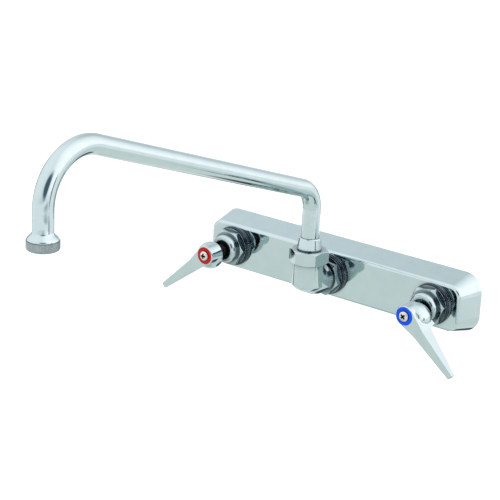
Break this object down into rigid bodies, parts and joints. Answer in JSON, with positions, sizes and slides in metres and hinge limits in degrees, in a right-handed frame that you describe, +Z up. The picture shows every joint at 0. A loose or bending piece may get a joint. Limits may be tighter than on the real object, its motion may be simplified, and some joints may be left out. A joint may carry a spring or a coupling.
{
  "type": "commercial wall faucet",
  "caption": "Chrome wall-mounted kitchen faucet with two lever valves on a flared casing, an elbow outlet and a long swing nozzle.",
  "frame": {"origin": "on the wall plane, midway between the two valve axes and at their height, which is the middle of the wall mount", "axes": "+X to the cold side along the valves, +Y into the wall, +Z up; the user stands at -Y"},
  "size_m": [0.2976, 0.3991, 0.2122],
  "materials": {
    "chrome": "polished",
    "dark_chrome": "polished",
    "brass": "as cast",
    "steel": "satin",
    "rubber": "matte",
    "ceramic": "lapped",
    "red_index": "gloss",
    "blue_index": "gloss"
  },
  "bodies": {
    "faucet_body": {"casing": "chrome", "mixing_body": "brass", "hot_face_washer": "chrome", "cold_face_washer": "chrome", "outlet_face_washer": "chrome", "hot_lock_ring": "dark_chrome", "cold_lock_ring": "dark_chrome", "outlet_lock_ring": "dark_chrome", "hot_bonnet": "chrome", "cold_bonnet": "chrome", "elbow_lock_nut": "chrome", "hot_cartridge_sleeve": "brass", "cold_cartridge_sleeve": "brass", "hot_seat_seal": "rubber", "cold_seat_seal": "rubber", "hot_fixed_disc": "ceramic", "cold_fixed_disc": "ceramic", "elbow": "chrome", "nozzle_nut": "chrome"},
    "hot_handle": {"hot_lever_handle": "chrome", "hot_index_ring": "red_index", "hot_handle_screw": "steel", "hot_stem": "brass", "hot_moving_disc": "ceramic", "hot_stem_seal": "rubber"},
    "cold_handle": {"cold_lever_handle": "chrome", "cold_index_ring": "blue_index", "cold_handle_screw": "steel", "cold_stem": "brass", "cold_moving_disc": "ceramic", "cold_stem_seal": "rubber"},
    "nozzle": {"swing_nozzle": "chrome", "nozzle_retaining_ring": "brass", "nozzle_seal": "rubber", "outlet_tip": "steel", "outlet_washer": "rubber", "flow_straightener": "steel"}
  },
  "joints": [
    {"name": "hot_valve", "type": "hinge", "parent": "faucet_body", "child": "hot_handle", "pos_m": [-0.1016, -0.0415, 0], "axis": [0, -1, 0], "range_deg": [0, 90]},
    {"name": "cold_valve", "type": "hinge", "parent": "faucet_body", "child": "cold_handle", "pos_m": [0.1016, -0.0415, 0], "axis": [0, 1, 0], "range_deg": [0, 90]},
    {"name": "nozzle_swing", "type": "hinge", "parent": "faucet_body", "child": "nozzle", "pos_m": [0, -0.0547, 0.0288], "axis": [0, 0, 1], "range_deg": [-90, 90]}
  ]
}
